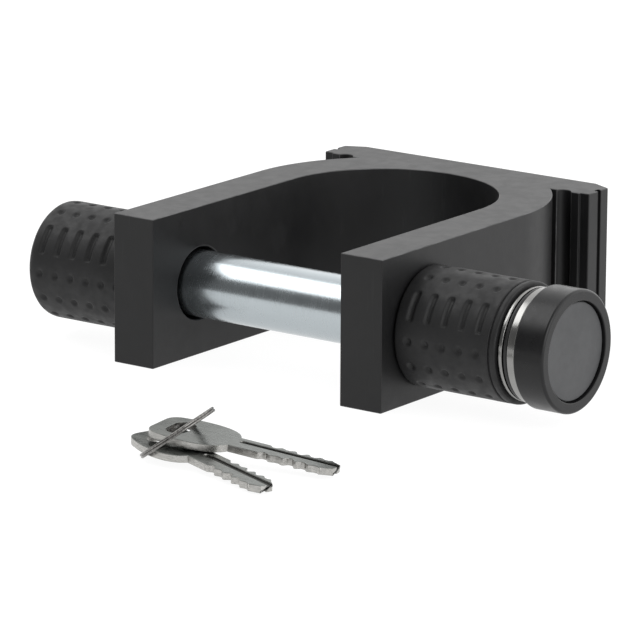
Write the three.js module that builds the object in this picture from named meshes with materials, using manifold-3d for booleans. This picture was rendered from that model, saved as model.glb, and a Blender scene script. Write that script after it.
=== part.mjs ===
// A U-shaped pin lock: a black U body, a round steel pin through its two arms, a rubber-gripped head
// fixed on one end of the pin, and a rubber-gripped key lock that snaps on the other end. The keys lie
// on their ring in front of it. Millimetres, +Z up. X runs along the pin towards the keyed end and Y
// towards the closed back of the U. The origin is the centre of the back plate's bottom face.
import * as THREE from 'three';
import { mergeVertices } from 'three/addons/utils/BufferGeometryUtils.js';
import Module from 'manifold-3d';

const wasm = await Module();
wasm.setup();

// ---------- driving dimensions ----------

const BODY_HEIGHT = 36;
const GAP_HALF = 27; // half the clear gap between the arms
const ARM_OUTER = 38.55; // from the middle to an arm's outer face
const PLATE_OUTER = 38.9; // from the middle to an end of the back plate
const ARM_FRONT_Y = -89.65;
const PLATE_HALF_THICKNESS = 5.65; // the back plate lies evenly around y = 0
const PLATE_CORNER = [5, 2.4]; // bevel of the back corners, across and deep
const ARCH_CENTRE_Y = -33.95;
const SHOULDER_CENTRE_Y = -31.9;
const ARM_CORNER = 0.3;
const FLUTE = { x: 32.1, radius: 2.1, sunk: 0.6 };
const END_STEP = { x: 36.4, depth: 0.6 };
const END_GROOVE = { y: -0.5, width: 1.3, depth: 0.8 };

const PIN_Y = -71.35;
const PIN_Z = 17.3;
const PIN_R = 7.95;
const ARM_HOLE_R = 8.8;
const NOSE_R = 6;
const NOSE_NECK_R = 4.8;
const PIN_TIP_X = 53.6;
const HEAD_CORE_R = 11.7;
const GRIP_R = 14.25;
const GRIP_ROUND = 2.4;

const HOUSING_X = [39, 75.6];
const HOUSING_R = 12;
const RING_R = 13.4;
const CAVITY_R = 10.9;
const CAVITY_X = 42.6;
const MOUTH_R = 8.3;
const SEAL = { x: 40.4, r: 8.95, tube: 0.6 };
const SEAL_GROOVE = { x: [39.6, 41.2], r: 9.7 };
const FLANGE_X = [66.9, 67.9]; // bright flange at the end of the grip
const O_RING = { x: 68.6, r: 12.6, tube: 0.55, floorR: 11.9 };
const RING_X = [69.3, 72.1]; // bright ring against the cap

const BALL_X = 48.4;
const BALL_R = 1.6;
const BALL_OUT = 7.75; // ball centre from the pin's axis when the lock is open
const BALL_TRAVEL = 1.3;
const CAM_LAND_R = 8.2;

const PLUG_R = 6.3;
const PLUG_FACE_X = 74.4;
const SHELL_X = [59.25, 74.4];
const WAFER_COUNT = 6;
const WAFER_PITCH = 1.9;
const WAFER_FIRST_X = 61.2;
const WAFER = { thick: 0.8, width: 3.8, r: 6.1, windowWidth: 2.3, windowHeight: 8.9 };

const CAP_X = [72.5, 79.6];
const CAP_R = 14.3;

const KEY = { thick: 1.7, tip: 39.2, bowEnd: 5.7, halfBow: 7.6, neck: 13.6, halfBlade: 3.15 };
const KEY_CUTS = { count: 5, fromNeck: 7.5, pitch: 3.2 };
const KEY_RING = { radius: 9.35, tube: 0.45, centre: [26.17, -149.18, 6.75] };
const KEY_RING_NORMAL = [0.568, 0.159, -0.808];

const ROUND = 36; // facets around a turned piece

// ---------- closed solids ----------

// A geometry as a closed manifold with its faces pointing out.
function solid(geometry) {
  const bare = geometry.clone();
  bare.deleteAttribute('normal');
  bare.deleteAttribute('uv');
  const merged = mergeVertices(bare, 1e-4);
  const position = merged.attributes.position;
  const corners = [0, 1, 2].map(() => new THREE.Vector3());
  const triangles = [];
  let volume = 0;
  for (let i = 0; i < merged.index.count; i += 3) {
    const ids = [0, 1, 2].map((k) => merged.index.getX(i + k));
    if (new Set(ids).size < 3) continue;
    corners.forEach((corner, k) => corner.fromBufferAttribute(position, ids[k]));
    volume += corners[0].dot(corners[1].clone().cross(corners[2]));
    triangles.push(ids);
  }
  const facing = volume < 0 ? triangles.map(([a, b, c]) => [a, c, b]) : triangles;
  return new wasm.Manifold(new wasm.Mesh({
    numProp: 3,
    vertProperties: Float32Array.from(position.array),
    triVerts: Uint32Array.from(facing.flat()),
  }));
}

function asGeometry(body) {
  const mesh = body.getMesh();
  const geometry = new THREE.BufferGeometry();
  geometry.setAttribute('position', new THREE.BufferAttribute(mesh.vertProperties, 3));
  geometry.setIndex(new THREE.BufferAttribute(mesh.triVerts, 1));
  return geometry;
}

// Points of an arc in an [x, r] profile, from one angle to another in degrees.
function arc(x, r, radius, from, to, steps = 4) {
  const points = [];
  for (let i = 0; i <= steps; i += 1) {
    const angle = THREE.MathUtils.degToRad(from + ((to - from) * i) / steps);
    points.push([x + radius * Math.cos(angle), r + radius * Math.sin(angle)]);
  }
  return points;
}

// A solid turned about the pin's axis from [x, radius] points, which start and end on the axis or
// close on themselves.
function turned(profile, facets = ROUND) {
  const points = profile.map(([x, r]) => new THREE.Vector2(r, x));
  if (profile[0][1] > 0) points.push(points[0].clone());
  const geometry = new THREE.LatheGeometry(points, facets);
  geometry.rotateZ(-Math.PI / 2);
  geometry.translate(0, PIN_Y, PIN_Z);
  return solid(geometry);
}

function rod(fromX, toX, r) {
  return turned([[fromX, 0], [fromX, r], [toX, r], [toX, 0]]);
}

// A ring of round section about the pin's axis.
function oRing({ x, r, tube }) {
  return turned(arc(x, r, tube, 0, 315, 7));
}

// A shape drawn in Y and Z around the pin's axis, pushed from one x to another.
function prismAlongPin(shape, fromX, toX) {
  const geometry = new THREE.ExtrudeGeometry(shape, {
    depth: toX - fromX,
    bevelEnabled: false,
    curveSegments: 24,
  });
  const [x, y, z] = [[1, 0, 0], [0, 1, 0], [0, 0, 1]].map((axis) => new THREE.Vector3(...axis));
  geometry.applyMatrix4(new THREE.Matrix4().makeBasis(y, z, x));
  geometry.translate(fromX, PIN_Y, PIN_Z);
  return solid(geometry);
}

// A box centred on the pin's axis, from one x to another.
function barAlongPin(fromX, toX, sizeY, sizeZ) {
  const geometry = new THREE.BoxGeometry(toX - fromX, sizeY, sizeZ);
  geometry.translate((fromX + toX) / 2, PIN_Y, PIN_Z);
  return solid(geometry);
}

// An upright round bar that crosses the pin's axis at x.
function uprightRod(x, r, fromZ, toZ, facets = 24) {
  const geometry = new THREE.CylinderGeometry(r, r, toZ - fromZ, facets);
  geometry.rotateX(Math.PI / 2);
  geometry.translate(x, PIN_Y, PIN_Z + (fromZ + toZ) / 2);
  return solid(geometry);
}

// ---------- materials ----------

function material(color, roughness, metalness) {
  return new THREE.MeshStandardMaterial({ color, roughness, metalness });
}

const blackCoat = material(0x232425, 0.55, 0.1);
const zinc = material(0xb9c0c6, 0.28, 1);
const nickel = material(0xc4c4be, 0.25, 1);
const hardSteel = material(0x8d9196, 0.35, 1);
const brass = material(0xb99a52, 0.35, 1);
const rubber = material(0x2b2b2d, 0.75, 0);
const seal = material(0x151515, 0.6, 0);
const capPlastic = material(0x303032, 0.4, 0);

// ---------- U body ----------

// The outline starts at the left arm's front, goes round the gap to the right arm, and comes back
// round the outside.
function bodyOutline() {
  const shoulder = Math.asin((-PLATE_HALF_THICKNESS - SHOULDER_CENTRE_Y) / ARM_OUTER);
  const shape = new THREE.Shape();
  shape.moveTo(-GAP_HALF, ARM_FRONT_Y);
  shape.lineTo(-GAP_HALF, ARCH_CENTRE_Y);
  shape.absarc(0, ARCH_CENTRE_Y, GAP_HALF, Math.PI, 0, true);
  shape.lineTo(GAP_HALF, ARM_FRONT_Y);
  shape.lineTo(ARM_OUTER - ARM_CORNER, ARM_FRONT_Y);
  shape.lineTo(ARM_OUTER, ARM_FRONT_Y + ARM_CORNER);
  shape.lineTo(ARM_OUTER, SHOULDER_CENTRE_Y);
  shape.absarc(0, SHOULDER_CENTRE_Y, ARM_OUTER, 0, shoulder, false);
  shape.lineTo(PLATE_OUTER, -PLATE_HALF_THICKNESS);
  shape.lineTo(PLATE_OUTER, PLATE_HALF_THICKNESS - PLATE_CORNER[1]);
  shape.lineTo(PLATE_OUTER - PLATE_CORNER[0], PLATE_HALF_THICKNESS);
  shape.lineTo(-PLATE_OUTER + PLATE_CORNER[0], PLATE_HALF_THICKNESS);
  shape.lineTo(-PLATE_OUTER, PLATE_HALF_THICKNESS - PLATE_CORNER[1]);
  shape.lineTo(-PLATE_OUTER, -PLATE_HALF_THICKNESS);
  shape.absarc(0, SHOULDER_CENTRE_Y, ARM_OUTER, Math.PI - shoulder, Math.PI, false);
  shape.lineTo(-ARM_OUTER, ARM_FRONT_Y + ARM_CORNER);
  shape.lineTo(-ARM_OUTER + ARM_CORNER, ARM_FRONT_Y);
  return shape;
}

// The grooves that run down one end of the back plate; side is 1 or -1.
function plateGrooves(side) {
  const tall = BODY_HEIGHT + 2;
  const flute = new THREE.CylinderGeometry(FLUTE.radius, FLUTE.radius, tall, 20);
  flute.rotateX(Math.PI / 2);
  flute.translate(side * FLUTE.x, -PLATE_HALF_THICKNESS - FLUTE.sunk, BODY_HEIGHT / 2);
  const stepWidth = 2 * (PLATE_OUTER - END_STEP.x);
  const step = new THREE.BoxGeometry(stepWidth, 2 * END_STEP.depth, tall);
  step.translate(side * PLATE_OUTER, -PLATE_HALF_THICKNESS, BODY_HEIGHT / 2);
  const groove = new THREE.BoxGeometry(2 * END_GROOVE.depth, END_GROOVE.width, tall);
  groove.translate(side * PLATE_OUTER, END_GROOVE.y, BODY_HEIGHT / 2);
  return solid(flute).add(solid(step)).add(solid(groove));
}

function uBody() {
  const geometry = new THREE.ExtrudeGeometry(bodyOutline(), {
    depth: BODY_HEIGHT,
    bevelEnabled: false,
    curveSegments: 40,
  });
  const pinHole = rod(-ARM_OUTER - 1, ARM_OUTER + 1, ARM_HOLE_R);
  return solid(geometry).subtract(pinHole).subtract(plateGrooves(1)).subtract(plateGrooves(-1));
}

// ---------- pin and its fixed head ----------

const CORE_X = [-64, -38.85];
const CORE_GROOVES_X = [-58, -49]; // the grooves that key the rubber to the head
const SHANK_END_X = 41.6;

function lockPin() {
  const headEase = 1;
  const shankEase = 0.4;
  const grooveFloorR = HEAD_CORE_R - 0.8;
  const grooves = CORE_GROOVES_X.flatMap((x) => [
    [x, HEAD_CORE_R], [x + 0.6, grooveFloorR], [x + 2, grooveFloorR], [x + 2.6, HEAD_CORE_R],
  ]);
  const neck = { floorHalf: 1.1, topHalf: 2 };
  return turned([
    [CORE_X[0], 0], [CORE_X[0], HEAD_CORE_R - headEase], [CORE_X[0] + headEase, HEAD_CORE_R],
    ...grooves,
    [CORE_X[1], HEAD_CORE_R], [CORE_X[1], PIN_R],
    [SHANK_END_X - shankEase, PIN_R], [SHANK_END_X, PIN_R - shankEase], [SHANK_END_X, NOSE_R],
    [BALL_X - neck.topHalf, NOSE_R], [BALL_X - neck.floorHalf, NOSE_NECK_R],
    [BALL_X + neck.floorHalf, NOSE_NECK_R], [BALL_X + neck.topHalf, NOSE_R],
    [PIN_TIP_X - 1, NOSE_R], [PIN_TIP_X, NOSE_R - 1], [PIN_TIP_X, 0],
  ]);
}

// A rubber cup over the head of the pin.
function pinHeadSleeve() {
  const [endX, openX] = [-68.7, -39];
  const wall = 0.3;
  const inner = HEAD_CORE_R + wall;
  return turned([
    [CORE_X[0] - wall, 0], [CORE_X[0] - wall, inner], [openX, inner],
    [openX, GRIP_R - 0.5], [openX - 0.5, GRIP_R],
    ...arc(endX + GRIP_ROUND, GRIP_R - GRIP_ROUND, GRIP_ROUND, 90, 180),
    [endX, 0],
  ]);
}

// ---------- keyed lock head ----------

function lockHousing() {
  const [mouthX, endX] = HOUSING_X;
  const flangeR = RING_R - 0.2;
  const spigotR = HOUSING_R - 0.1; // the cap slides over this end
  const ease = 0.3;
  const body = turned([
    [mouthX, MOUTH_R], [mouthX, HOUSING_R - 2 * ease], [mouthX + 2 * ease, HOUSING_R],
    [FLANGE_X[0], HOUSING_R], [FLANGE_X[0], flangeR], [FLANGE_X[1], flangeR],
    [FLANGE_X[1], O_RING.floorR], [RING_X[0], O_RING.floorR],
    [RING_X[0], RING_R - ease], [RING_X[0] + ease, RING_R],
    [RING_X[1] - ease, RING_R], [RING_X[1], RING_R - ease],
    [RING_X[1], spigotR], [endX - ease, spigotR], [endX, spigotR - ease], [endX, CAVITY_R],
    [CAVITY_X, CAVITY_R], [CAVITY_X, MOUTH_R],
    [SEAL_GROOVE.x[1], MOUTH_R], [SEAL_GROOVE.x[1], SEAL_GROOVE.r],
    [SEAL_GROOVE.x[0], SEAL_GROOVE.r], [SEAL_GROOVE.x[0], MOUTH_R],
  ]);
  return body.subtract(uprightRod(SHELL_PIN.x, SHELL_PIN.holeR, 9, 13));
}

function lockHeadSleeve() {
  const [mouthX, endX] = [39.1, 66.6];
  const grooveX = [64.7, 65.2];
  const grooveR = GRIP_R - 0.35;
  const beadRound = 0.6;
  const inner = HOUSING_R + 0.3;
  return turned([
    [mouthX, inner], [mouthX, GRIP_R - 0.5], [mouthX + 0.5, GRIP_R],
    [grooveX[0], GRIP_R], [grooveX[0] + 0.3, grooveR], [grooveX[1], grooveR],
    ...arc(endX - beadRound, GRIP_R - beadRound, beadRound, 135, 0),
    [endX, inner],
  ]);
}

// The sleeve that holds the two locking balls, with a flange against the housing's shoulder.
function ballCage() {
  const [flangeX, endX] = [CAVITY_X + 0.3, 54.9];
  const [innerR, outerR] = [NOSE_R + 0.2, CAM_LAND_R - 0.25];
  const cage = turned([
    [endX - 1, 0], [endX - 1, innerR], [flangeX, innerR], [flangeX, CAVITY_R - 0.3],
    [flangeX + 1.3, CAVITY_R - 0.3], [flangeX + 1.3, outerR], [endX, outerR], [endX, 0],
  ]);
  return cage.subtract(uprightRod(BALL_X, BALL_R + 0.15, -12, 12));
}

// A ball at its open place; side is 1 for the top ball and -1 for the bottom one.
function lockingBall(side) {
  const geometry = new THREE.SphereGeometry(BALL_R, 20, 12);
  geometry.translate(BALL_X, PIN_Y, PIN_Z + side * BALL_OUT);
  return solid(geometry);
}

// The hole in the cam has two pockets for the open balls. It narrows evenly over a quarter turn,
// so turning the cam drives both balls inwards by their travel.
function camHole() {
  const pocketR = BALL_OUT + BALL_R + 0.15;
  const steps = 72;
  const points = [];
  for (let i = 0; i < steps; i += 1) {
    const angle = (2 * Math.PI * i) / steps;
    const fromPocket = Math.acos(Math.abs(Math.sin(angle)));
    const r = pocketR - (BALL_TRAVEL * fromPocket) / (Math.PI / 2);
    points.push(new THREE.Vector2(r * Math.cos(angle), r * Math.sin(angle)));
  }
  return new THREE.Shape(points);
}

const CAM_X = [45.4, 57];
const CAM_WALL = 1.8;
const TAIL = { thick: 2.4, wide: 6.5 };

function driveCam() {
  const hole = prismAlongPin(camHole(), CAM_X[0] - 1, CAM_X[1] - CAM_WALL);
  const socket = barAlongPin(CAM_X[0], CAM_X[1] + 1, TAIL.thick + 0.5, TAIL.wide + 0.5);
  return rod(...CAM_X, CAVITY_R - 0.3).subtract(hole).subtract(socket);
}

// ---------- lock cylinder ----------

const SLOT_R = 7.6;
const KEYWAY = { width: 2.2, height: 8.8, endX: 59.9 };
const SHELL_PIN = { x: 66, r: 1, holeR: 1.3, z: [8.2, 11.8] };
const CLIP_X = [58.35, 58.95];

const waferX = (i) => WAFER_FIRST_X + i * WAFER_PITCH;

function cylinderShell() {
  const boreR = PLUG_R + 0.15;
  const flangeSeatX = PLUG_FACE_X - 1.2;
  const tube = turned([
    [SHELL_X[0], boreR], [SHELL_X[0], CAVITY_R - 0.3], [SHELL_X[1], CAVITY_R - 0.3], [SHELL_X[1], SLOT_R],
    [flangeSeatX, SLOT_R], [flangeSeatX, boreR],
  ]);
  const slotWidth = WAFER.width + 0.5;
  const slotX = [waferX(0) - 0.8, waferX(WAFER_COUNT - 1) + 0.8];
  return tube
    .subtract(barAlongPin(...slotX, slotWidth, 2 * SLOT_R))
    .subtract(barAlongPin(...slotX, 2 * SLOT_R, slotWidth))
    .subtract(uprightRod(SHELL_PIN.x, SHELL_PIN.holeR, SHELL_PIN.z[0] - 0.3, 13));
}

function cylinderPlug() {
  const collarX = 57.6;
  const tailX = CAM_X[1] - CAM_WALL + 0.3;
  let plug = turned([
    [collarX, 0], [collarX, PLUG_R], [CLIP_X[0] - 0.15, PLUG_R], [CLIP_X[0] - 0.15, 4.6],
    [CLIP_X[1] + 0.15, 4.6], [CLIP_X[1] + 0.15, PLUG_R], [PLUG_FACE_X - 1, PLUG_R],
    [PLUG_FACE_X - 1, SLOT_R - 0.2], [PLUG_FACE_X, SLOT_R - 0.2], [PLUG_FACE_X, 0],
  ]);
  plug = plug.add(barAlongPin(tailX, collarX + 0.5, TAIL.thick, TAIL.wide));
  plug = plug.subtract(barAlongPin(KEYWAY.endX, PLUG_FACE_X + 1, KEYWAY.width, KEYWAY.height));
  for (let i = 0; i < WAFER_COUNT; i += 1) {
    const half = WAFER.thick / 2 + 0.1;
    const slot = barAlongPin(waferX(i) - half, waferX(i) + half, WAFER.width + 0.25, 2 * PLUG_R + 1);
    plug = plug.subtract(slot);
  }
  return plug;
}

function wafer(i) {
  const [fromX, toX] = [waferX(i) - WAFER.thick / 2, waferX(i) + WAFER.thick / 2];
  const plate = rod(fromX, toX, WAFER.r).intersect(barAlongPin(fromX, toX, WAFER.width, 20));
  return plate.subtract(barAlongPin(fromX - 1, toX + 1, WAFER.windowWidth, WAFER.windowHeight));
}

// An open clip in the plug's groove, behind the shell.
function plugClip() {
  const [innerR, outerR] = [4.75, 7.8];
  const [from, to] = [-0.85, Math.PI + 0.85];
  const shape = new THREE.Shape();
  shape.absarc(0, 0, outerR, from, to, false);
  shape.absarc(0, 0, innerR, to, from, true);
  return prismAlongPin(shape, ...CLIP_X);
}

function shellPin() {
  return uprightRod(SHELL_PIN.x, SHELL_PIN.r, ...SHELL_PIN.z, 16);
}

// ---------- dust cap ----------

const CAP_DISC = { r: 11.4, seatX: 77.9, face: 78.9 };

function dustCap() {
  const [openX, faceX] = CAP_X;
  const innerR = HOUSING_R + 0.3;
  const floorX = 76.2; // inside, clear of the housing's end
  const round = 0.7;
  return turned([
    [CAP_DISC.seatX, 0], [CAP_DISC.seatX, CAP_DISC.r + 0.3], [faceX - 0.3, CAP_DISC.r + 0.3],
    [faceX, CAP_DISC.r + 0.6],
    ...arc(faceX - round, CAP_R - round, round, 0, 90),
    [openX + 0.4, CAP_R], [openX, CAP_R - 0.4], [openX, innerR], [floorX, innerR], [floorX, 0],
  ]);
}

function capDisc() {
  const { r, seatX, face } = CAP_DISC;
  return turned([[seatX + 0.3, 0], [seatX + 0.3, r], [face - 0.3, r], [face, r - 0.3], [face, 0]]);
}

// ---------- keys and ring ----------

// A key's outline with its ring hole at the origin and its tip along +X. Both edges of the blade
// carry the same cuts.
function keyOutline() {
  const { tip, bowEnd, halfBow, neck, halfBlade } = KEY;
  const edge = [];
  for (let i = 0; i < KEY_CUTS.count; i += 1) {
    const x = neck + KEY_CUTS.fromNeck + KEY_CUTS.pitch * i;
    const floor = halfBlade - 0.5 - 0.35 * ((2 * i + 1) % 3);
    edge.push([x, halfBlade], [x + 0.9, floor], [x + 1.8, floor], [x + 2.7, halfBlade]);
  }
  edge.push([tip - 2.6, halfBlade - 0.3], [tip, halfBlade / 2]);
  const end = [0.42 * halfBow, 0.86 * halfBow]; // where the bow's end starts to round, and its corner
  const side = [4.2 - bowEnd, 0.93 * halfBow];
  const bulge = 1.09 * halfBow;
  const shape = new THREE.Shape();
  shape.moveTo(-bowEnd, -end[0]);
  shape.quadraticCurveTo(-bowEnd, -end[1], side[0], -side[1]);
  shape.bezierCurveTo(3, -bulge, neck - 2, -bulge, neck, -halfBlade);
  edge.forEach(([x, y]) => shape.lineTo(x, -y));
  edge.reverse().forEach(([x, y]) => shape.lineTo(x, y));
  shape.lineTo(neck, halfBlade);
  shape.bezierCurveTo(neck - 2, bulge, 3, bulge, side[0], side[1]);
  shape.quadraticCurveTo(-bowEnd, end[1], -bowEnd, end[0]);
  return shape;
}

function ringHole() {
  const [halfLong, r] = [2, 2.4];
  const hole = new THREE.Path();
  hole.absarc(0, halfLong, r, 0, Math.PI, false);
  hole.absarc(0, -halfLong, r, Math.PI, 2 * Math.PI, false);
  return hole;
}

function key() {
  const shape = keyOutline();
  shape.holes.push(ringHole());
  const geometry = new THREE.ExtrudeGeometry(shape, {
    depth: KEY.thick,
    bevelEnabled: false,
    curveSegments: 8,
  });
  geometry.translate(0, 0, -KEY.thick / 2);
  return solid(geometry);
}

// Where each key lies: its hole, its heading in the plan and how far its bow is propped up.
const KEY_PLACES = [
  { name: 'key_1', hole: [22.89, -143.79, 5.32], heading: 7.8, tilt: 5.2 },
  { name: 'key_2', hole: [19.76, -145.48, 3.02], heading: -18.3, tilt: 2.5 },
];

function keyRing() {
  const { radius, tube } = KEY_RING;
  return solid(new THREE.TorusGeometry(radius, tube, 8, 40));
}

// ---------- assembly ----------

const group = new THREE.Group();

function addPiece(name, body, finish) {
  const mesh = new THREE.Mesh(asGeometry(body), finish);
  mesh.name = name;
  group.add(mesh);
  return mesh;
}

addPiece('u_body', uBody(), blackCoat);
addPiece('lock_pin', lockPin(), zinc);
addPiece('pin_head_sleeve', pinHeadSleeve(), rubber);
addPiece('lock_housing', lockHousing(), nickel);
addPiece('lock_head_sleeve', lockHeadSleeve(), rubber);
addPiece('pin_seal', oRing(SEAL), seal);
addPiece('housing_o_ring', oRing(O_RING), seal);
addPiece('ball_cage', ballCage(), hardSteel);
addPiece('locking_ball_1', lockingBall(1), hardSteel);
addPiece('locking_ball_2', lockingBall(-1), hardSteel);
addPiece('drive_cam', driveCam(), hardSteel);
addPiece('cylinder_shell', cylinderShell(), brass);
addPiece('cylinder_plug', cylinderPlug(), brass);
addPiece('plug_clip', plugClip(), hardSteel);
addPiece('shell_pin', shellPin(), hardSteel);
for (let i = 0; i < WAFER_COUNT; i += 1) {
  addPiece(`wafer_${i + 1}`, wafer(i), brass);
}
addPiece('dust_cap', dustCap(), capPlastic);
addPiece('cap_disc', capDisc(), capPlastic);

const ring = addPiece('key_ring', keyRing(), nickel);
ring.position.set(...KEY_RING.centre);
ring.quaternion.setFromUnitVectors(
  new THREE.Vector3(0, 0, 1),
  new THREE.Vector3(...KEY_RING_NORMAL).normalize(),
);

for (const { name, hole, heading, tilt } of KEY_PLACES) {
  const mesh = addPiece(name, key(), nickel);
  mesh.position.set(...hole);
  mesh.rotation.set(0, THREE.MathUtils.degToRad(tilt), THREE.MathUtils.degToRad(heading), 'ZYX');
}

export default group;
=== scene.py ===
import math

import bmesh
import bpy
from mathutils import Matrix, Vector, noise


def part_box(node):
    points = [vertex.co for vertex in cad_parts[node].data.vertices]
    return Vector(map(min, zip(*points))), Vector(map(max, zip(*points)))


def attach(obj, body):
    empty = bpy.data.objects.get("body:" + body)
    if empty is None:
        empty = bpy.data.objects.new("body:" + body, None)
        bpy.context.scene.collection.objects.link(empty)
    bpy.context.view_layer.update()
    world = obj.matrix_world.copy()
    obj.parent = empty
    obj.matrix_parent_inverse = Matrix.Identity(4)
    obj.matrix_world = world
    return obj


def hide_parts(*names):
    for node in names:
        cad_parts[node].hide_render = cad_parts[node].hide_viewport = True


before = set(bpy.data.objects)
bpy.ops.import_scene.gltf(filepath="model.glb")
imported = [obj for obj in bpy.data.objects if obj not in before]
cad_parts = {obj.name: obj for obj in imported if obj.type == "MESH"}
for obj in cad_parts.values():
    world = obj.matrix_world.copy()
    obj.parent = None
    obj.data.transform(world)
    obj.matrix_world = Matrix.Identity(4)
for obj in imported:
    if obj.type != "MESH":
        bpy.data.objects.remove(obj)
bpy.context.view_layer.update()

# A U-shaped pin lock: black U body, steel pin, two rubber grips, a keyed head with a dust cap, and two
# keys on a split ring. Lengths are millimetres until a mesh is made. X runs along the pin towards the
# keyed end, Y towards the closed back of the U, and Z up.

MM = 0.001


def node_box(node):
    """The lowest and highest corners of a CAD node, in millimetres."""
    low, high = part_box(node)
    return Vector(low) / MM, Vector(high) / MM


# ---------- driving dimensions ----------

BODY_LOW, BODY_HIGH = node_box("u_body")
PLATE_OUTER = BODY_HIGH.x
ARM_INSET = 0.35  # the arms' outer faces lie this far inside the plate's ends
ARM_OUTER = PLATE_OUTER - ARM_INSET
BODY_HEIGHT = BODY_HIGH.z
ARM_FRONT_Y = BODY_LOW.y
PLATE_HALF_THICKNESS = BODY_HIGH.y  # the back plate lies evenly around y = 0
GAP_HALF = 27  # half the clear gap between the arms
ARCH_CENTRE_Y = -33.95
SHOULDER_CENTRE_Y = -31.9
PLATE_CORNER = (5, 2.4)  # bevel of the back corners, along X and along Y
FLUTE = {"x": 32.1, "radius": 2.1, "sunk": 0.6}
END_STEP = {"x": 36.4, "depth": 0.6}
END_GROOVE = {"y": -0.5, "width": 1.3, "depth": 0.8}
HOLE_R = 8.8  # the arms' holes for the pin
ARM_EASE = 0.28  # rounding of the arms' front corners
BODY_EASE = 0.24  # rounding of the body's flat edges

CAP_LOW, CAP_HIGH = node_box("dust_cap")
PIN_Y = (CAP_LOW.y + CAP_HIGH.y) / 2
PIN_Z = (CAP_LOW.z + CAP_HIGH.z) / 2
CAP_R = (CAP_HIGH.y - CAP_LOW.y) / 2
SKIRT_PAST = 0.75  # the cap's skirt reaches this much further over the housing than the CAD cap's
CAP_OPEN_X = CAP_LOW.x - SKIRT_PAST
RING_GAP = 0.35  # between the housing's bright ring and the cap's skirt
PIN_R = 7.95
HEAD_CORE_R = 11.7  # the pin's wider core, under the head's grip
HEAD_CORE_X = (-64, -38.85)
GRIP_R = 14.25
HOUSING_R = 12
PLAY = 0.3  # gap between pieces that fit over each other

# ---------- small node helpers ----------


def new_material(name, **sockets):
    """A material's node tree and its Principled shader, with plain values set on the shader."""
    material = bpy.data.materials.new(name)
    material.use_nodes = True
    tree = material.node_tree
    shader = tree.nodes["Principled BSDF"]
    for socket, value in sockets.items():
        shader.inputs[socket.replace("_", " ")].default_value = value
    return material, tree, shader


def coordinates(tree, scale):
    """Object coordinates stretched by scale, in cycles per metre along each axis."""
    source = tree.nodes.new("ShaderNodeTexCoord")
    mapping = tree.nodes.new("ShaderNodeMapping")
    mapping.inputs["Scale"].default_value = scale
    tree.links.new(source.outputs["Object"], mapping.inputs["Vector"])
    return mapping.outputs["Vector"]


def noise_at(tree, scale, detail):
    """A noise value. Scale is one number, or one for each axis."""
    if isinstance(scale, (int, float)):
        scale = (scale, scale, scale)
    texture = tree.nodes.new("ShaderNodeTexNoise")
    texture.inputs["Scale"].default_value = 1
    texture.inputs["Detail"].default_value = detail
    tree.links.new(coordinates(tree, scale), texture.inputs["Vector"])
    return texture.outputs["Fac"]


def ranged(tree, value, to_low, to_high, from_low=0.35, from_high=0.65):
    """A value moved from one range to another and held inside it. Noise lies mostly in 0.35 to 0.65."""
    node = tree.nodes.new("ShaderNodeMapRange")
    node.inputs["From Min"].default_value = from_low
    node.inputs["From Max"].default_value = from_high
    node.inputs["To Min"].default_value = to_low
    node.inputs["To Max"].default_value = to_high
    tree.links.new(value, node.inputs["Value"])
    return node.outputs["Result"]


def arithmetic(tree, operation, first, second):
    """A sum, product or the like. Either value may be a number or another node's output."""
    node = tree.nodes.new("ShaderNodeMath")
    node.operation = operation
    for socket, value in zip(node.inputs, (first, second)):
        if isinstance(value, (int, float)):
            socket.default_value = value
        else:
            tree.links.new(value, socket)
    return node.outputs[0]


def colour_between(tree, value, first, second):
    """A colour between two colours. Either may be another node's output."""
    node = tree.nodes.new("ShaderNodeMix")
    node.data_type = "RGBA"
    tree.links.new(value, node.inputs["Factor"])
    for socket, colour in ((node.inputs[6], first), (node.inputs[7], second)):
        if isinstance(colour, tuple):
            socket.default_value = (*colour, 1)
        else:
            tree.links.new(colour, socket)
    return node.outputs[2]


def attribute(tree, name):
    """A value that the mesh carries at its points."""
    node = tree.nodes.new("ShaderNodeAttribute")
    node.attribute_name = name
    return node.outputs["Fac"]


def bump(tree, height, distance, strength, below=None):
    """A bumped normal. Distance is the height in metres of a full step from 0 to 1."""
    node = tree.nodes.new("ShaderNodeBump")
    node.inputs["Strength"].default_value = strength
    node.inputs["Distance"].default_value = distance
    tree.links.new(height, node.inputs["Height"])
    if below is not None:
        tree.links.new(below, node.inputs["Normal"])
    return node.outputs["Normal"]


# ---------- materials ----------


def black_coat():
    """Fine matte coating on steel, with a faint grain, lighter scuffs, and a painted highlight along its
    rounded edges.
    """
    material, tree, shader = new_material("black_coat", IOR=1.4)
    patches = noise_at(tree, 40, 3)
    grain = noise_at(tree, 2600, 2)
    peel = noise_at(tree, 700, 2)
    base = colour_between(tree, ranged(tree, patches, 0, 1), (0.006, 0.006, 0.0064), (0.008, 0.008, 0.0084))
    scuffs = ranged(tree, noise_at(tree, (900, 90, 90), 3), 0, 0.04, 0.62, 0.7)
    patchy = ranged(tree, noise_at(tree, 240, 4), 0.35, 1)
    # Painted highlight along the rounded edges, uneven along its length; the scuffs are lighter wear.
    edge_highlight = arithmetic(tree, "MULTIPLY", attribute(tree, "edge"), patchy)
    scuffs_and_edge_highlight = arithmetic(tree, "MAXIMUM", edge_highlight, scuffs)
    tree.links.new(colour_between(tree, scuffs_and_edge_highlight, base, (0.09, 0.09, 0.092)), shader.inputs["Base Color"])
    tree.links.new(ranged(tree, noise_at(tree, 320, 3), 0.43, 0.47), shader.inputs["Roughness"])
    coarse = bump(tree, peel, 0.00004, 0.25)
    tree.links.new(bump(tree, grain, 0.00003, 0.4, coarse), shader.inputs["Normal"])
    return material


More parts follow.
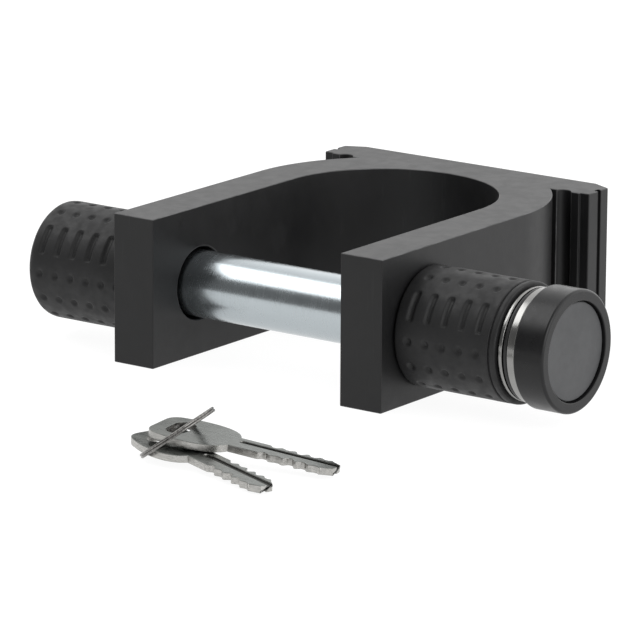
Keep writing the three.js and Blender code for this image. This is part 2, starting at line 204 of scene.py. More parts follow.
def turned_metal(name, dark, light, rough, ring_depth):
    """Plated round metal with fine turning rings about X and a cloudy sheen."""
    material, tree, shader = new_material(name, Metallic=1.0, Anisotropic=0.25)
    rings = noise_at(tree, (5200, 60, 60), 2)
    cloud = noise_at(tree, (50, 120, 120), 2)
    tree.links.new(colour_between(tree, ranged(tree, cloud, 0, 1), dark, light), shader.inputs["Base Color"])
    streaks = ranged(tree, rings, -0.03, 0.03)
    smear = ranged(tree, noise_at(tree, (260, 420, 420), 3), rough, rough + 0.04)
    tree.links.new(arithmetic(tree, "ADD", smear, streaks), shader.inputs["Roughness"])
    tree.links.new(bump(tree, rings, ring_depth, 0.4), shader.inputs["Normal"])
    return material


def key_metal():
    """Nickel-plated key blank: fine scratches, painted shade in its grooves, and a lighter colour round its
    edge.
    """
    material, tree, shader = new_material("key_metal", Metallic=1.0)
    scratches = noise_at(tree, (260, 3600, 3600), 3)
    handled = noise_at(tree, 260, 4)
    plated = colour_between(tree, ranged(tree, handled, 0, 1), (0.11, 0.117, 0.109), (0.175, 0.182, 0.171))
    # Painted shade darkens the grooves along the blade.
    cut = attribute(tree, "cut")
    colour = colour_between(tree, arithmetic(tree, "MULTIPLY", cut, 0.75), plated, (0.03, 0.028, 0.026))
    # A lighter colour round the key's edge, streaked by the scratches.
    edge_band = arithmetic(tree, "MULTIPLY", attribute(tree, "edge_band"), ranged(tree, scratches, 0.5, 0.95))
    colour = colour_between(tree, edge_band, colour, (0.50, 0.49, 0.47))
    tree.links.new(colour, shader.inputs["Base Color"])
    smear = ranged(tree, handled, 0.24, 0.38)
    streaks = ranged(tree, scratches, -0.05, 0.07)
    tree.links.new(arithmetic(tree, "ADD", smear, streaks), shader.inputs["Roughness"])
    tree.links.new(bump(tree, scratches, 0.00001, 0.35), shader.inputs["Normal"])
    return material


def wire_metal():
    """Bright spring wire of the split ring."""
    material, tree, shader = new_material("ring_wire", Metallic=1.0)
    drawn = noise_at(tree, 1800, 3)
    colour = colour_between(tree, ranged(tree, drawn, 0, 1), (0.13, 0.125, 0.12), (0.24, 0.235, 0.225))
    tree.links.new(colour, shader.inputs["Base Color"])
    tree.links.new(ranged(tree, drawn, 0.22, 0.38), shader.inputs["Roughness"])
    tree.links.new(bump(tree, drawn, 0.00001, 0.3), shader.inputs["Normal"])
    return material


def machined(name, dark, light, rough):
    """Plain machined metal of the hidden working pieces."""
    material, tree, shader = new_material(name, Metallic=1.0)
    marks = noise_at(tree, (3800, 900, 900), 3)
    stain = noise_at(tree, 300, 4)
    tree.links.new(colour_between(tree, ranged(tree, stain, 0, 1), dark, light), shader.inputs["Base Color"])
    tree.links.new(ranged(tree, marks, rough, rough + 0.12), shader.inputs["Roughness"])
    tree.links.new(bump(tree, marks, 0.00001, 0.35), shader.inputs["Normal"])
    return material


def grip_rubber():
    """Matte moulded rubber with a fine grain, a little uneven in tone, with painted shade in the hollows."""
    material, tree, shader = new_material("grip_rubber", IOR=1.42)
    grain = noise_at(tree, 3000, 3)
    lumps = noise_at(tree, 420, 3)
    held = noise_at(tree, 90, 4)
    base = colour_between(tree, ranged(tree, held, 0, 1), (0.007, 0.007, 0.0074), (0.0105, 0.0105, 0.011))
    # Painted shade in the slots and dimples, deeper where they are deeper.
    hollow_shade = arithmetic(tree, "MULTIPLY", attribute(tree, "hollow"), 0.2)
    tree.links.new(colour_between(tree, hollow_shade, base, (0.004, 0.004, 0.004)), shader.inputs["Base Color"])
    tree.links.new(ranged(tree, lumps, 0.50, 0.64), shader.inputs["Roughness"])
    lower = bump(tree, lumps, 0.00008, 0.4)
    tree.links.new(bump(tree, grain, 0.00004, 0.45, lower), shader.inputs["Normal"])
    return material


def soft_black(name, dark, light, rough, ior):
    """Satin black moulding, for the cap, its disc and the seals."""
    material, tree, shader = new_material(name, IOR=ior)
    grain = noise_at(tree, 2400, 2)
    cloud = noise_at(tree, 110, 4)
    tree.links.new(colour_between(tree, ranged(tree, cloud, 0, 1), dark, light), shader.inputs["Base Color"])
    tree.links.new(ranged(tree, noise_at(tree, 500, 3), rough, rough + 0.07), shader.inputs["Roughness"])
    tree.links.new(bump(tree, grain, 0.00002, 0.35), shader.inputs["Normal"])
    return material


COAT = black_coat()
ZINC = turned_metal("zinc", (0.41, 0.45, 0.47), (0.435, 0.475, 0.495), 0.22, 0.000003)
NICKEL = turned_metal("nickel", (0.23, 0.228, 0.222), (0.29, 0.288, 0.28), 0.18, 0.000004)
KEY_METAL = key_metal()
WIRE = wire_metal()
STEEL = machined("hard_steel", (0.30, 0.31, 0.33), (0.46, 0.47, 0.49), 0.24)
BRASS = machined("brass", (0.50, 0.37, 0.14), (0.64, 0.50, 0.22), 0.22)
RUBBER = grip_rubber()
SEAL = soft_black("seal_rubber", (0.008, 0.008, 0.008), (0.014, 0.014, 0.014), 0.34, 1.48)
CAP = soft_black("cap_plastic", (0.006, 0.006, 0.0065), (0.009, 0.009, 0.0095), 0.27, 1.36)
DISC = soft_black("cap_disc_face", (0.034, 0.035, 0.037), (0.042, 0.043, 0.045), 0.46, 1.48)

# ---------- mesh helpers ----------


def rounded(corners, closed=False, steps=5):
    """Points of an outline with its corners rounded. A corner is (a, b) or (a, b, radius).

    A radius is cut down where its arc would take about half of a neighbouring side.
    """
    most_of_side = 0.49
    points = []
    for i, corner in enumerate(corners):
        here = Vector(corner[:2])
        radius = corner[2] if len(corner) > 2 else 0
        if radius <= 0 or (not closed and i in (0, len(corners) - 1)):
            points.append(here)
            continue
        before = Vector(corners[i - 1][:2]) - here
        after = Vector(corners[(i + 1) % len(corners)][:2]) - here
        half = before.angle(after) / 2
        reach = min(radius / math.tan(half), most_of_side * before.length, most_of_side * after.length)
        middle = (before.normalized() + after.normalized()).normalized()
        centre = here + middle * (reach / math.cos(half))
        start = here + before.normalized() * reach - centre
        end = here + after.normalized() * reach - centre
        turn = start.angle(end)
        for step in range(steps + 1):
            share = step / steps
            weights = math.sin((1 - share) * turn), math.sin(share * turn)
            points.append(centre + (start * weights[0] + end * weights[1]) / math.sin(turn))
    return points


def arc(centre, radius, start, end, steps):
    """Points of an arc, with its angles in degrees."""
    angles = [math.radians(start + (end - start) * i / steps) for i in range(steps + 1)]
    return [Vector((centre[0] + radius * math.cos(a), centre[1] + radius * math.sin(a))) for a in angles]


def link_mesh(name, points, faces):
    """A mesh object from points in millimetres, with its faces pointing out."""
    mesh = bpy.data.meshes.new(name)
    mesh.from_pydata([Vector(p) * MM for p in points], [], faces)
    work = bmesh.new()
    work.from_mesh(mesh)
    bmesh.ops.recalc_face_normals(work, faces=work.faces)
    work.to_mesh(mesh)
    work.free()
    obj = bpy.data.objects.new(name, mesh)
    bpy.context.scene.collection.objects.link(obj)
    return obj


def on_axis(x, r, angle):
    """The point at radius r about the pin's axis. Angle 0 faces the open front and 90 degrees up."""
    return (x, PIN_Y - r * math.cos(angle), PIN_Z + r * math.sin(angle))


def turned(name, profile, segments, shape=None):
    """A piece turned about the pin's axis from (x, radius) points. shape(x, r, angle) may change r.

    A profile that doesn't start on the axis is closed on itself.
    """
    on_centre = 1e-6
    points = []
    rows = []
    for x, r in profile:
        if r < on_centre:
            rows.append([len(points)] * segments)
            points.append(on_axis(x, 0, 0))
            continue
        rows.append(list(range(len(points), len(points) + segments)))
        for i in range(segments):
            angle = 2 * math.pi * i / segments
            points.append(on_axis(x, shape(x, r, angle) if shape else r, angle))
    if profile[0][1] > on_centre:
        rows.append(rows[0])
    faces = []
    for low, high in zip(rows, rows[1:]):
        for i in range(segments):
            j = (i + 1) % segments
            face = [low[i], low[j], high[j], high[i]]
            face = [v for k, v in enumerate(face) if v != face[k - 1]]
            faces.append(face)
    return link_mesh(name, points, faces)


def extruded(name, outline, low, high):
    """An outline in X and Y made into a prism from one height to another."""
    count = len(outline)
    points = [(x, y, low) for x, y in outline] + [(x, y, high) for x, y in outline]
    sides = [[i, (i + 1) % count, count + (i + 1) % count, count + i] for i in range(count)]
    return link_mesh(name, points, [list(range(count)), list(range(count, 2 * count)), *sides])


def apply_modifiers(obj):
    """Makes the object's modifiers part of its mesh."""
    graph = bpy.context.evaluated_depsgraph_get()
    mesh = bpy.data.meshes.new_from_object(obj.evaluated_get(graph))
    obj.modifiers.clear()
    old = obj.data
    obj.data = mesh
    bpy.data.meshes.remove(old)
    mesh.name = obj.name


def cut_away(obj, *cutters):
    """Cuts other meshes out of an object and removes them."""
    for cutter in cutters:
        modifier = obj.modifiers.new("cut", "BOOLEAN")
        modifier.operation = "DIFFERENCE"
        modifier.solver = "EXACT"
        modifier.object = cutter
    bpy.context.view_layer.update()
    apply_modifiers(obj)
    for cutter in cutters:
        bpy.data.objects.remove(cutter)


def eased(obj, width, segments):
    """Rounds the object's sharp edges, and marks the rounded faces in the "edge" attribute.

    A point is marked when every face round it is a rounded one. Material slot 1 tells them apart.
    """
    sharp_from = 32
    obj.data.materials.clear()
    obj.data.materials.append(None)
    obj.data.materials.append(None)
    modifier = obj.modifiers.new("ease", "BEVEL")
    modifier.width = width * MM
    modifier.segments = segments
    modifier.limit_method = "ANGLE"
    modifier.angle_limit = math.radians(sharp_from)
    modifier.use_clamp_overlap = False
    modifier.material = 1
    modifier.miter_outer = "MITER_SHARP"
    bpy.context.view_layer.update()
    apply_modifiers(obj)
    mesh = obj.data
    is_round = [polygon.material_index == 1 for polygon in mesh.polygons]
    inside = [True] * len(mesh.vertices)
    for polygon, rounds in zip(mesh.polygons, is_round):
        for vertex in polygon.vertices:
            inside[vertex] = inside[vertex] and rounds
    values = mesh.attributes.new("edge", "FLOAT", "POINT")
    for vertex, value in enumerate(inside):
        values.data[vertex].value = 1.0 if value else 0.0
    for polygon in mesh.polygons:
        polygon.material_index = 0
    mesh.materials.clear()


def finish_piece(obj, material, body, slot, *nodes, sharp=40, keep_flat=True):
    """Smooth shading, material, and the CAD body and nodes that the piece stands for. The slot is not used.
    """
    mesh = obj.data
    mesh.materials.clear()
    mesh.materials.append(material)
    mesh.shade_smooth()
    mesh.set_sharp_from_angle(angle=math.radians(sharp))
    if keep_flat:
        normals = obj.modifiers.new("normals", "WEIGHTED_NORMAL")
        normals.keep_sharp = True
    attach(obj, body)
    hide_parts(*nodes)


# ---------- U body ----------


def half_outline():
    """The body's outline for +X, from the top of the arch round the arm to the middle of the back."""
    inner = arc((0, ARCH_CENTRE_Y), GAP_HALF, 90, 0, 56)
    arm = rounded([(GAP_HALF, ARCH_CENTRE_Y), (GAP_HALF, ARM_FRONT_Y, ARM_EASE),
                   (ARM_OUTER, ARM_FRONT_Y, ARM_EASE), (ARM_OUTER, SHOULDER_CENTRE_Y)])
    plate_front = -PLATE_HALF_THICKNESS
    shoulder_end = math.degrees(math.asin((plate_front - SHOULDER_CENTRE_Y) / ARM_OUTER))
    shoulder = arc((0, SHOULDER_CENTRE_Y), ARM_OUTER, 0, shoulder_end, 44)
    tilt = math.degrees(math.asin(FLUTE["sunk"] / FLUTE["radius"]))
    flute = arc((FLUTE["x"], plate_front - FLUTE["sunk"]), FLUTE["radius"], 180 - tilt, tilt, 22)
    low, high = (END_GROOVE["y"] + side * END_GROOVE["width"] / 2 for side in (-1, 1))
    floor_x = PLATE_OUTER - END_GROOVE["depth"]
    step_y = plate_front + END_STEP["depth"]
    corner_y = PLATE_HALF_THICKNESS - PLATE_CORNER[1]
    end = rounded([
        flute[-1], (END_STEP["x"], plate_front, 0.3), (END_STEP["x"], step_y, 0.2),
        (PLATE_OUTER, step_y, 0.3), (PLATE_OUTER, low, 0.2), (floor_x, low, 0.12), (floor_x, high, 0.12),
        (PLATE_OUTER, high, 0.2), (PLATE_OUTER, corner_y, 0.3),
        (PLATE_OUTER - PLATE_CORNER[0], PLATE_HALF_THICKNESS, 0.3), (0, PLATE_HALF_THICKNESS),
    ])
    return [*inner[:-1], *arm[:-1], *shoulder, *flute, *end[1:]]


def make_body():
    """The body and its two holes, cut and flared by one cutter that is wider wherever there is no arm."""
    right = half_outline()
    left = [Vector((-x, y)) for x, y in reversed(right[1:-1])]
    body = extruded("body_shell", [*right, *left], 0, BODY_HEIGHT)
    flare = 0.15
    past = 1.5
    hole = turned("hole", rounded([
        (-ARM_OUTER - past, 0), (-ARM_OUTER - past, HOLE_R + flare + past), (-ARM_OUTER + flare, HOLE_R),
        (-GAP_HALF - flare, HOLE_R), (-GAP_HALF + past, HOLE_R + flare + past),
        (GAP_HALF - past, HOLE_R + flare + past), (GAP_HALF + flare, HOLE_R),
        (ARM_OUTER - flare, HOLE_R), (ARM_OUTER + past, HOLE_R + flare + past), (ARM_OUTER + past, 0),
    ]), segments=96)
    cut_away(body, hole)
    eased(body, BODY_EASE, 3)
    finish_piece(body, COAT, "body", "black_coat", "u_body")


# ---------- pin ----------


def make_pin():
    """The shank, the narrower nose with its neck for the locking balls, and the core of the fixed head."""
    core_left, core_right = HEAD_CORE_X
    groove_starts = (-58, -49)  # two grooves round the core hold the rubber
    groove_width, groove_slope, groove_depth = 2.6, 0.6, 0.8
    shank_end = 41.6
    nose_r = 6
    neck_x, neck_r = 48.4, 4.8
    neck_half_floor, neck_half_mouth = 1.1, 2
    tip_x = 53.6
    groove_r = HEAD_CORE_R - groove_depth
    profile = [(core_left, 0), (core_left, HEAD_CORE_R, 1)]
    for start in groove_starts:
        end = start + groove_width
        profile += [(start, HEAD_CORE_R, 0.3), (start + groove_slope, groove_r, 0.3)]
        profile += [(end - groove_slope, groove_r, 0.3), (end, HEAD_CORE_R, 0.3)]
    profile += [
        (core_right, HEAD_CORE_R, 0.3), (core_right, PIN_R, 0.3),
        (shank_end, PIN_R, 0.5), (shank_end, nose_r, 0.3),
        (neck_x - neck_half_mouth, nose_r, 0.4), (neck_x - neck_half_floor, neck_r, 0.4),
        (neck_x + neck_half_floor, neck_r, 0.4), (neck_x + neck_half_mouth, nose_r, 0.4),
        (tip_x, nose_r, 1), (tip_x, 0),
    ]
    pin = turned("pin_round", rounded(profile), 144)
    finish_piece(pin, ZINC, "pin", "zinc", "lock_pin")


# ---------- rubber grips ----------

ROWS = 12
FIRST_ROW = 2  # degrees round from the front
SLOT_ROWS = (1, 5, 9)  # the other rows hold round dimples
DIMPLE = {"half": 0, "width": 1.0, "depth": 0.5}
SLOT = {"half": 3.0, "width": 0.85, "depth": 0.62}  # half is half the length of its middle line
DIMPLE_SHIFT = 4  # degrees that the dimples beside a row of slots stand away from it
MARK_REACH = 1.25  # a mark ends this many of its widths from its middle line
MARK_STEEPNESS = 1.35  # above 1, a mark has a flat floor and a steeper wall
UNEVENNESS = 0.06  # how much the moulded skin rises and falls


def smooth_step(value):
    """Eases from 0 to 1 as the value goes from 0 to 1."""
    value = min(max(value, 0), 1)
    return value * value * (3 - 2 * value)


def mark_depth(x, angle, columns):
    """How deep the grip's pattern of slots and dimples is at a point."""
    turn = math.degrees(angle) - FIRST_ROW
    spacing = 360 / ROWS
    row = round(turn / spacing)
    mark = SLOT if row % ROWS in SLOT_ROWS else DIMPLE
    off_row = turn - row * spacing
    if (row - 1) % ROWS in SLOT_ROWS:
        off_row -= DIMPLE_SHIFT
    if (row + 1) % ROWS in SLOT_ROWS:
        off_row += DIMPLE_SHIFT
    round_way = math.radians(off_row) * GRIP_R
    nearest = min(columns, key=lambda column: abs(column - x))
    away = math.hypot(x - nearest, max(abs(round_way) - mark["half"], 0))
    return mark["depth"] * smooth_step(MARK_STEEPNESS * (1 - away / (mark["width"] * MARK_REACH)))


def make_grip(name, outer, inner, columns, body, node):
    """A grip whose outer skin carries the pattern. outer and inner are (x, r) profiles.

    Points in a slot or dimple are marked in the "hollow" attribute, by how deep they lie, for the painted
    shade there.
    """
    step = 0.26
    plain_below = GRIP_R - 0.2  # the rounded ends keep their shape
    skin_above = GRIP_R - 1.2  # nothing of the outer skin lies deeper
    wave_along, wave_round = 0.06, 2.2
    margin = 2
    dense = []
    skin = rounded(outer, steps=6)
    for start, end in zip(skin, skin[1:]):
        pieces = max(1, round((end - start).length / step))
        dense += [start.lerp(end, i / pieces) for i in range(pieces)]
    dense.append(skin[-1])
    marked = min(columns) - margin, max(columns) + margin

    def shape(x, r, angle):
        if r < plain_below:
            return r
        place = Vector((x * wave_along, math.cos(angle), math.sin(angle)))
        r -= UNEVENNESS * (1 + noise.noise(place * wave_round))
        if marked[0] < x < marked[1]:
            r -= mark_depth(x, angle, columns)
        return r

    grip = turned(name, [*dense, *[Vector(p) for p in inner]], 340, shape)
    mesh = grip.data
    hollow = mesh.attributes.new("hollow", "FLOAT", "POINT")
    for i, vertex in enumerate(mesh.vertices):
        x, y, z = vertex.co / MM
        r = math.hypot(y - PIN_Y, z - PIN_Z)
        deep = (GRIP_R - 2 * UNEVENNESS - r) / SLOT["depth"]
        on_skin = marked[0] < x < marked[1] and r > skin_above
        hollow.data[i].value = min(max(deep, 0), 1) if on_skin else 0
    finish_piece(grip, RUBBER, body, "grip_rubber", node, sharp=60, keep_flat=False)


def make_grips():
    """The pin head's grip, closed at its outer end, and the lock head's, with a fine groove near the cap."""
    column_pitch = 4.67
    head_first, head_count = -41.1, 6
    lock_first, lock_count = 42.8, 5
    head_bore_r = HEAD_CORE_R + PLAY
    head_bore_end = HEAD_CORE_X[0] - PLAY
    lock_bore_r = HOUSING_R + PLAY
    groove_r = GRIP_R - 0.5
    groove_floor, groove_mouth = (64.75, 65.05), (64.6, 65.2)
    low, high = (corner.x for corner in node_box("pin_head_sleeve"))
    columns = [head_first - column_pitch * i for i in range(head_count)]
    skin = [(low, 0), (low, GRIP_R, 2.4), (high, GRIP_R, 0.5), (high, head_bore_r, 0.3)]
    inside = [(head_bore_end, head_bore_r), (head_bore_end, 0)]
    make_grip("head_grip", skin, inside, columns, "pin", "pin_head_sleeve")
    low, high = (corner.x for corner in node_box("lock_head_sleeve"))
    columns = [lock_first + column_pitch * i for i in range(lock_count)]
    skin = [
        (low, lock_bore_r), (low, GRIP_R, 0.5),
        (groove_mouth[0], GRIP_R, 0.25), (groove_floor[0], groove_r, 0.1),
        (groove_floor[1], groove_r, 0.1), (groove_mouth[1], GRIP_R, 0.3),
        (high, GRIP_R, 0.6), (high, lock_bore_r),
    ]
    make_grip("lock_grip", skin, [], columns, "lock_head", "lock_head_sleeve")


# ---------- keyed head ----------


def make_housing():
    """The steel tube: seal groove in its mouth, cavity for the lock, flange, bright ring, and cap's seat."""
    spigot_r = HOUSING_R - 0.1  # the cap slides over this end
    ring_r = 13.4
    flange_r = ring_r - 0.2
    mouth_r = 8.3
    cavity_r = 10.9
    cavity_x = 42.6
    seal_groove_r = 9.7
    seal_low, seal_high = 39.6, 41.2
    flange_low, flange_high = 66.9, 67.9  # closes the end of the grip
    ring_low, ring_high = 69.3, CAP_OPEN_X - RING_GAP
    mouth_x, end_x = (corner.x for corner in node_box("lock_housing"))
    profile = rounded([
        (mouth_x, mouth_r, 0.3), (mouth_x, HOUSING_R, 0.5), (flange_low, HOUSING_R),
        (flange_low, flange_r, 0.2), (flange_high, flange_r, 0.2), (flange_high, spigot_r),
        (ring_low, spigot_r), (ring_low, ring_r, 0.35), (ring_high, ring_r, 0.35),
        (ring_high, spigot_r), (end_x, spigot_r, 0.3), (end_x, cavity_r, 0.3),
        (cavity_x, cavity_r), (cavity_x, mouth_r), (seal_high, mouth_r), (seal_high, seal_groove_r),
        (seal_low, seal_groove_r), (seal_low, mouth_r),
    ], closed=True)
    housing = turned("housing_round", profile, 144)
    finish_piece(housing, NICKEL, "lock_head", "nickel", "lock_housing")


def make_o_ring():
    """The dark ring between the flange and the bright ring."""
    low, high = node_box("housing_o_ring")
    tube = 0.55
    ring_r = (high.y - low.y) / 2 - tube
    section = arc(((low.x + high.x) / 2, ring_r), tube, 0, 345, 23)  # 24 points that close on themselves
    ring = turned("o_ring_round", section, 120)
    finish_piece(ring, SEAL, "lock_head", "seal_rubber", "housing_o_ring", keep_flat=False)


def make_cap():
    """The dust cap, and the paler disc that sits in its face."""
    disc_r = 11.4
    seat_x = 77.9
    disc_face = 78.9
    floor_x = 76.2
    inner_r = HOUSING_R + PLAY
    open_x, face_x = CAP_OPEN_X, CAP_HIGH.x
    cap = turned("cap_shell", rounded([
        (seat_x, 0), (seat_x, disc_r + PLAY, 0.1), (face_x, disc_r + PLAY, 0.25), (face_x, CAP_R, 0.7),
        (open_x, CAP_R, 0.4), (open_x, inner_r, 0.3), (floor_x, inner_r, 0.3), (floor_x, 0),
    ], steps=8), 160)
    finish_piece(cap, CAP, "cap", "cap_plastic", "dust_cap")
    disc = turned("cap_face", rounded([
        (seat_x + PLAY, 0), (seat_x + PLAY, disc_r, 0.1), (disc_face, disc_r, 0.3), (disc_face, 0),
    ]), 128)
    finish_piece(disc, DISC, "cap", "cap_plastic", "cap_disc")


# ---------- keys and ring ----------

# A key's tip, neck and bow end are measured along it from the middle of its ring hole.
KEY = {"thick": 1.7, "tip": 39.2, "bow_end": 5.7, "half_bow": 7.6, "neck": 13.6, "half_blade": 3.15}
KEY_CUTS = {"count": 5, "from_neck": 7.5, "pitch": 3.2, "ramp": 0.9, "shallow": 0.5, "deeper": 0.35}
KEY_GROOVE = {"from_neck": 1, "off_middle": 0.75, "half": 0.7, "depth": 0.45}
KEY_HOLE = {"half_long": 2, "radius": 2.4}
KEY_EASE = 0.14
# Where each key's ring hole lies, and the key's turn about Z and then about its own width, in degrees.
KEY_PLACES = {
    "key_1": {"hole": (22.89, -143.79, 5.32), "heading": 7.8, "tilt": 5.2, "body": "first_key"},
    "key_2": {"hole": (19.76, -145.48, 3.02), "heading": -18.3, "tilt": 2.5, "body": "second_key"},
}
# "wire" is the wire's own radius, and "spread" how far each coil lies from the ring's middle plane.
KEY_RING = {"radius": 9.35, "wire": 0.33, "spread": 0.27, "centre": (26.17, -149.18, 6.75)}
KEY_RING_NORMAL = (0.568, 0.159, -0.808)


def bezier(points, steps=10):
    """Points of a Bezier curve of any degree, without its first point."""
    result = []
    for i in range(1, steps + 1):
        level = [Vector(p) for p in points]
        while len(level) > 1:
            level = [a.lerp(b, i / steps) for a, b in zip(level, level[1:])]
        result.append(level[0])
    return result


def key_outline():
    """The key's outline with its ring hole at the origin and its tip along +X.

    Its upper half goes from the bow's end round the bow to the neck, and along the cut blade to the tip.
    """
    tip, bow_end, half_bow = KEY["tip"], KEY["bow_end"], KEY["half_bow"]
    neck, half = KEY["neck"], KEY["half_blade"]
    tip_length, tip_narrowing = 2.6, 0.3
    bulge = 1.09 * half_bow  # the bow's curve is drawn towards this height
    start = (-bow_end, 0.42 * half_bow)
    side = (4.2 - bow_end, 0.93 * half_bow)
    upper = [Vector(start)]
    upper += bezier([start, (-bow_end, 0.86 * half_bow), side])
    upper += bezier([side, (3, bulge), (neck - 2, bulge), (neck, half)], 16)
    for i in range(KEY_CUTS["count"]):
        x = neck + KEY_CUTS["from_neck"] + KEY_CUTS["pitch"] * i
        floor = half - KEY_CUTS["shallow"] - KEY_CUTS["deeper"] * ((2 * i + 1) % 3)
        ramp = KEY_CUTS["ramp"]
        cut = (x, half), (x + ramp, floor), (x + 2 * ramp, floor), (x + 3 * ramp, half)
        upper += [Vector(point) for point in cut]
    upper += [Vector((tip - tip_length, half - tip_narrowing)), Vector((tip, half / 2))]
    lower = [Vector((x, -y)) for x, y in reversed(upper)]
    return upper + lower


def key_groove(side):
    """A cutter for the groove along one flat of the blade; side is 1 or -1."""
    start, end = KEY["neck"] + KEY_GROOVE["from_neck"], KEY["tip"] + 2
    half = KEY_GROOVE["half"]
    low, high = (KEY_GROOVE["off_middle"] * side + edge for edge in (-half, half))
    outline = rounded([(start, low, 0.6), (end, low), (end, high), (start, high, 0.6)], closed=True)
    floor = KEY["thick"] / 2 - KEY_GROOVE["depth"]
    heights = sorted((side * floor, side * KEY["thick"]))
    return extruded("groove", outline, *heights)


def mark_key_faces(mesh):
    """Marks a flat key's points in its grooves in "cut", for painted shade, and those round its edge in
    "bare", for a lighter colour.
    """
    groove_start = KEY["neck"] + KEY_GROOVE["from_neck"] - 0.2
    groove_half_reach = 1.6
    in_groove_below, on_edge_below = 0.3, 0.05  # how far under the flats such points lie
    cut = mesh.attributes.new("cut", "FLOAT", "POINT")
    edge_band = mesh.attributes.new("edge_band", "FLOAT", "POINT")
    for i, vertex in enumerate(mesh.vertices):
        x, y, z = vertex.co / MM
        below_flat = KEY["thick"] / 2 - abs(z)
        in_groove = x > groove_start and abs(y) < groove_half_reach and below_flat > in_groove_below
        cut.data[i].value = 1.0 if in_groove else 0.0
        edge_band.data[i].value = 1.0 if below_flat > on_edge_below and not in_groove else 0.0


def make_key(node, place):
    """A key made flat, with its ring hole at the origin, and then laid in its place."""
    through = 3
    key = extruded(f"{node}_cut", key_outline(), -KEY["thick"] / 2, KEY["thick"] / 2)
    half_long, radius = KEY_HOLE["half_long"], KEY_HOLE["radius"]
    slot = [*arc((0, half_long), radius, 0, 180, 16), *arc((0, -half_long), radius, 180, 360, 16)]
    cut_away(key, extruded("slot", slot, -through, through), key_groove(1), key_groove(-1))
    eased(key, KEY_EASE, 2)
    mark_key_faces(key.data)
    heading = Matrix.Rotation(math.radians(place["heading"]), 4, "Z")
    tilt = Matrix.Rotation(math.radians(place["tilt"]), 4, "Y")
    key.data.transform(Matrix.Translation(Vector(place["hole"]) * MM) @ heading @ tilt)
    finish_piece(key, KEY_METAL, place["body"], "key_nickel", node)


def make_key_ring():
    """Two close coils of wire that step over each other once."""
    wire = KEY_RING["wire"]
    centre = Vector(KEY_RING["centre"])
    turn = Vector((0, 0, 1)).rotation_difference(Vector(KEY_RING_NORMAL).normalized()).to_matrix()
    steps = 220
    sides = 10
    first_angle = 0.6
    over_from, over_length = 0.42, 0.16  # the share of the wire where it crosses from coil to coil
    end_thickness = 0.55  # the wire's ends are filed down to this share
    filed = 1 / 60  # the share of the wire that is filed at each end
    points = []
    for i in range(steps + 1):
        share = i / steps
        angle = 4 * math.pi * share + first_angle
        lift = KEY_RING["spread"] * (2 * smooth_step((share - over_from) / over_length) - 1)
        out = Vector((math.cos(angle), math.sin(angle), 0))
        full = smooth_step(min(share, 1 - share) / filed)
        thickness = wire * (end_thickness + (1 - end_thickness) * full)
        for k in range(sides):
            around = 2 * math.pi * k / sides
            local = out * (KEY_RING["radius"] + thickness * math.cos(around))
            local.z = lift + thickness * math.sin(around)
            points.append(centre + turn @ local)
    faces = [list(range(sides)), list(range(steps * sides, (steps + 1) * sides))]
    for i in range(steps):
        for k in range(sides):
            j = (k + 1) % sides
            faces.append([i * sides + k, i * sides + j, (i + 1) * sides + j, (i + 1) * sides + k])
    ring = link_mesh("split_ring", points, faces)
    finish_piece(ring, WIRE, "keyring", "key_nickel", "key_ring", sharp=70, keep_flat=False)


# ---------- working pieces kept from CAD ----------

KEPT = {
    STEEL: ("ball_cage", "locking_ball_1", "locking_ball_2", "drive_cam", "plug_clip", "shell_pin"),
    BRASS: ("cylinder_shell", "cylinder_plug", *[f"wafer_{i}" for i in range(1, 7)]),
    SEAL: ("pin_seal",),
}


def dress_kept_pieces():
    """Material, eased edges and smooth shading on the pieces that keep their CAD shape."""
    ease_width = 0.12
    sharp_from = math.radians(50)
    for material, names in KEPT.items():
        for name in names:
            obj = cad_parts[name]
            obj.data.materials.clear()
            obj.data.materials.append(material)
            ease = obj.modifiers.new("ease", "BEVEL")
            ease.width = ease_width * MM
            ease.segments = 2
            ease.limit_method = "ANGLE"
            ease.angle_limit = sharp_from
            obj.data.shade_smooth()
            obj.data.set_sharp_from_angle(angle=sharp_from)


# ---------- camera, light and floor ----------


def make_camera():
    """A long lens on the front right, a little above the object and a touch rolled."""
    azimuth, elevation, roll = (math.radians(a) for a in (36.0223, 14.2830, 0.33567))
    distance = 1221.76
    target = Vector((-0.255, -59.946, 10.092))
    back = Vector((
        math.sin(azimuth) * math.cos(elevation), -math.cos(azimuth) * math.cos(elevation), math.sin(elevation)
    ))
    right = Vector((math.cos(azimuth), math.sin(azimuth), 0))
    up = back.cross(right)
    across = math.cos(roll) * right + math.sin(roll) * up
    upright = math.cos(roll) * up - math.sin(roll) * right
    data = bpy.data.cameras.new("camera")
    data.lens = 291.738
    data.sensor_width = 36
    data.clip_end = 50
    camera = bpy.data.objects.new("camera", data)
    bpy.context.scene.collection.objects.link(camera)
    turn = Matrix((across, upright, back)).transposed().to_4x4()
    camera.matrix_world = Matrix.Translation((target + back * distance) * MM) @ turn
    bpy.context.scene.camera = camera


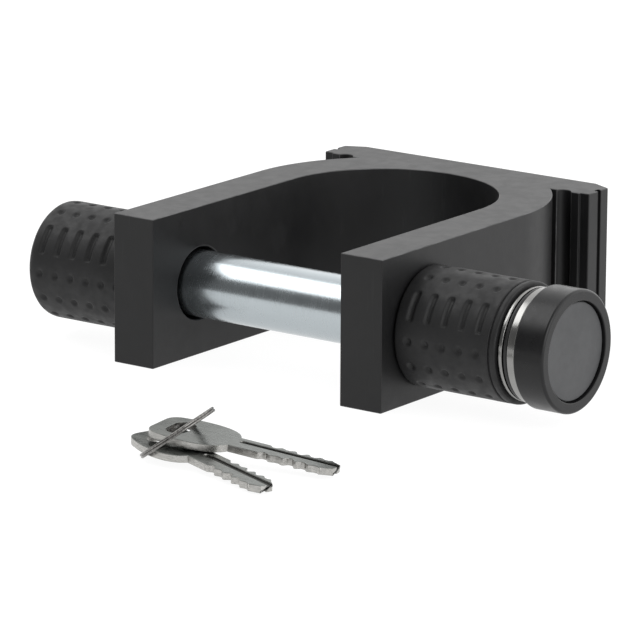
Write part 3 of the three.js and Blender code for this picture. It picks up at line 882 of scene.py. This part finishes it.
def area_light(name, direction, distance, size, radiance):
    """A soft box that faces the object. Radiance is how bright the box itself looks."""
    aim = (0, -60, 18)
    direction = Vector(direction).normalized()
    data = bpy.data.lights.new(name, "AREA")
    data.shape = "RECTANGLE"
    data.size, data.size_y = size
    data.energy = radiance * math.pi * size[0] * size[1]
    light = bpy.data.objects.new(name, data)
    bpy.context.scene.collection.objects.link(light)
    light.location = Vector(aim) * MM + direction * distance
    light.rotation_euler = direction.to_track_quat("Z", "Y").to_euler()


def make_world():
    """A pale studio all round, dimmer in front of the object and brighter to the right and behind."""
    world = bpy.data.worlds.new("studio")
    bpy.context.scene.world = world
    world.use_nodes = True
    tree = world.node_tree
    direction = tree.nodes.new("ShaderNodeTexCoord").outputs["Generated"]
    split = tree.nodes.new("ShaderNodeSeparateXYZ")
    tree.links.new(direction, split.inputs[0])
    glow_in_front, glow_behind = 0.2, 1.5
    extra_on_right = 0.7
    depth = ranged(tree, split.outputs["Y"], glow_in_front, glow_behind, -0.7, 0.7)
    right = ranged(tree, split.outputs["X"], 0, extra_on_right, 0, 1)
    background = tree.nodes["Background"]
    background.inputs["Color"].default_value = (1, 1, 1, 1)
    tree.links.new(arithmetic(tree, "ADD", depth, right), background.inputs["Strength"])


def make_floor():
    """A pale floor that glows evenly and takes only a faint shadow, just under the object."""
    material, _, shader = new_material("floor", Roughness=0.9)
    shader.inputs["Base Color"].default_value = (0.12, 0.12, 0.12, 1)
    shader.inputs["Emission Color"].default_value = (1, 1, 1, 1)
    shader.inputs["Emission Strength"].default_value = 0.93
    size = 6000
    below = 0.02
    corners = [(-size, -size, 0), (size, -size, 0), (size, size, 0), (-size, size, 0)]
    floor = link_mesh("floor", corners, [[0, 1, 2, 3]])
    floor.data.materials.append(material)
    floor.location.z = -below * MM


make_body()
make_pin()
make_grips()
make_housing()
make_o_ring()
make_cap()
for node, place in KEY_PLACES.items():
    make_key(node, place)
make_key_ring()
dress_kept_pieces()

make_camera()
make_world()
make_floor()
area_light("overhead", direction=(-0.57, -0.25, 0.78), distance=1.1, size=(0.85, 0.5), radiance=2.9)
area_light("right_side", direction=(1.0, -0.25, 0.45), distance=1.2, size=(0.7, 0.7), radiance=2.5)
bpy.context.scene.view_settings.view_transform = "Standard"
